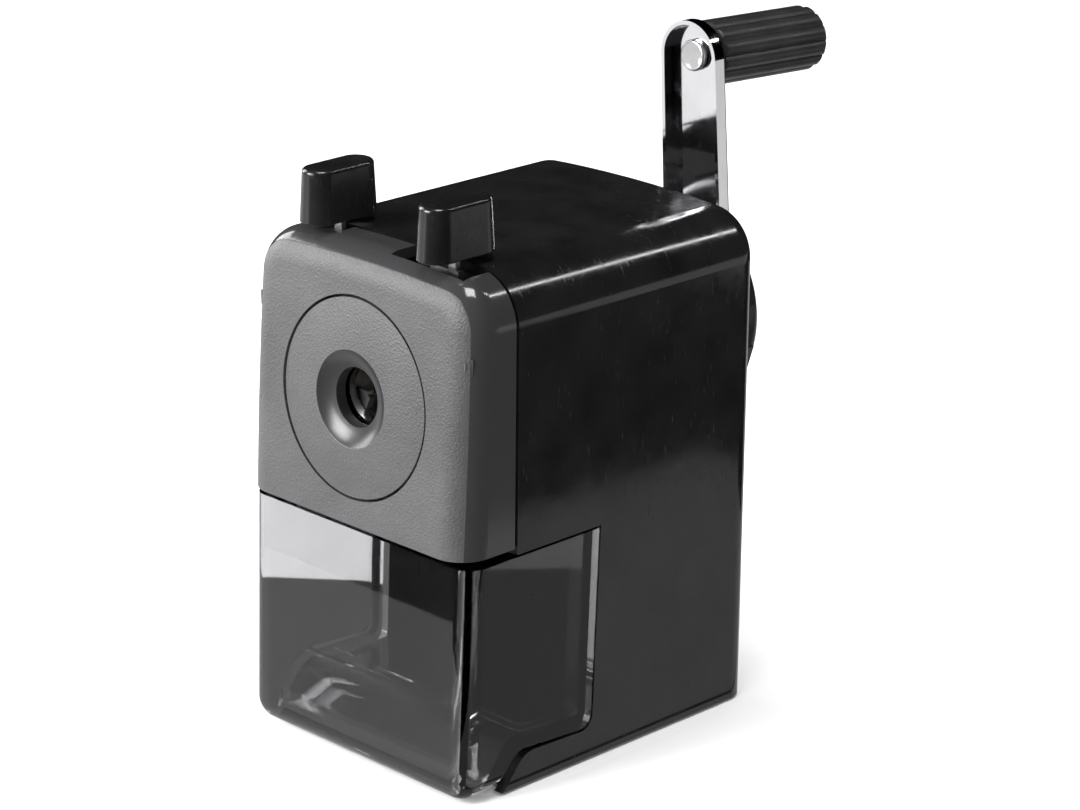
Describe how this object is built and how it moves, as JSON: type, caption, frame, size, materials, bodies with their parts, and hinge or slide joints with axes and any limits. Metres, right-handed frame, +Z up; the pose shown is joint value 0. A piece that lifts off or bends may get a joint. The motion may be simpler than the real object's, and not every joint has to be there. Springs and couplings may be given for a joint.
{
  "type": "desk pencil sharpener",
  "caption": "Hand-cranked desk pencil sharpener with a pull-out spring-fed front, squeeze levers working a jaw chuck, a helical cutter and a clear shavings drawer.",
  "frame": {"origin": "middle of the footprint of the whole object, crank handle included, on the desk plane the rubber feet stand on", "axes": "+X to the right seen from the front, +Y from the pencil side to the crank side, +Z up"},
  "size_m": [0.066, 0.1386, 0.1396],
  "materials": {
    "gloss_black": "polished black moulding",
    "grained_black": "fine pebbled grain on the front, polished rim",
    "black_satin": "satin black moulding",
    "black_inner": "plain black inner moulding",
    "knob_black": "satin-gloss black",
    "handle_black": "semi-matt dark grey",
    "smoke_clear": "smoke-tinted clear plastic, polished",
    "rubber": "matt",
    "steel": "zinc-plated pressed steel",
    "bright_steel": "bright turned steel",
    "spring_steel": "drawn spring wire",
    "tool_steel": "hardened ground steel",
    "chrome": "bright chrome plate",
    "brass": "sintered bronze-brown bush",
    "gear_plastic": "natural acetal",
    "die_cast": "as-cast zinc alloy"
  },
  "bodies": {
    "base": {"housing": "gloss_black", "base_plate": "gloss_black", "base_screws": "steel", "rubber_feet": "rubber", "mechanism_frame": "black_inner", "frame_screws": "steel", "rod_bushes": "brass", "nose_bush": "brass", "rear_cap": "black_satin", "rear_bush": "brass", "ring_gear": "gear_plastic", "feed_springs": "spring_steel"},
    "carriage": {"carriage_shell": "grained_black", "face_disc": "grained_black", "carriage_plate": "black_inner", "carriage_screws": "steel", "chuck_front_plate": "steel", "pencil_guide": "bright_steel", "jaw_cage": "steel", "chuck_pillars": "steel", "chuck_base": "steel", "left_lever_knob": "knob_black", "spring_post": "steel", "chuck_spring": "spring_steel", "guide_rods": "bright_steel", "rod_clips": "steel"},
    "chuck": {"chuck_ring": "steel", "right_lever_knob": "knob_black"},
    "jaw_1": {"jaw_1": "steel"},
    "jaw_2": {"jaw_2": "steel"},
    "jaw_3": {"jaw_3": "steel"},
    "drawer": {"drawer": "smoke_clear"},
    "crank": {"crank_shaft": "bright_steel", "crank_spacer": "steel", "crank_arm": "chrome", "hub_nut": "chrome", "knob_rivet": "bright_steel", "cutter_carrier": "die_cast", "cutter_axle": "steel"},
    "crank_knob": {"crank_knob": "handle_black"},
    "cutter": {"helical_cutter": "tool_steel", "cutter_pinion": "tool_steel"}
  },
  "joints": [
    {"name": "front_slide", "type": "slide", "parent": "base", "child": "carriage", "axis": [0, -1, 0], "range_m": [0, 0.032], "stiffness_N_per_m": 120, "springref_m": -0.02, "deforming": ["feed_springs"]},
    {"name": "squeeze_lever", "type": "hinge", "parent": "carriage", "child": "chuck", "pos_m": [0, -0.05854, 0.0796], "axis": [0, -1, 0], "range_deg": [0, 16], "stiffness_Nm_per_rad": 0.08, "springref_deg": -20.05, "deforming": ["chuck_spring"]},
    {"name": "jaw_1_slide", "type": "slide", "parent": "carriage", "child": "jaw_1", "axis": [0, 0, 1], "range_m": [0, 0.003]},
    {"name": "jaw_2_slide", "type": "slide", "parent": "carriage", "child": "jaw_2", "axis": [0.866, 0, -0.5], "range_m": [0, 0.003]},
    {"name": "jaw_3_slide", "type": "slide", "parent": "carriage", "child": "jaw_3", "axis": [-0.866, 0, -0.5], "range_m": [0, 0.003]},
    {"name": "drawer_slide", "type": "slide", "parent": "base", "child": "drawer", "axis": [0, -1, 0], "range_m": [0, 0.05]},
    {"name": "crank_turn", "type": "hinge", "parent": "base", "child": "crank", "pos_m": [0, -0.00764, 0.0796], "axis": [0, 1, 0], "continuous": true},
    {"name": "knob_spin", "type": "hinge", "parent": "crank", "child": "crank_knob", "pos_m": [-0.003, 0.03481, 0.13171], "axis": [0.0032, 0.9984, -0.0557], "continuous": true},
    {"name": "cutter_spin", "type": "hinge", "parent": "crank", "child": "cutter", "pos_m": [0, 0.00954, 0.0796], "axis": [0, 0.9833, -0.1822], "continuous": true}
  ],
  "couplings": [
    {"joint": "jaw_1_slide", "follows": "squeeze_lever", "m_per_rad": 0.010742},
    {"joint": "jaw_2_slide", "follows": "squeeze_lever", "m_per_rad": 0.010742},
    {"joint": "jaw_3_slide", "follows": "squeeze_lever", "m_per_rad": 0.010742},
    {"joint": "cutter_spin", "follows": "crank_turn", "ratio": -1.8333}
  ]
}
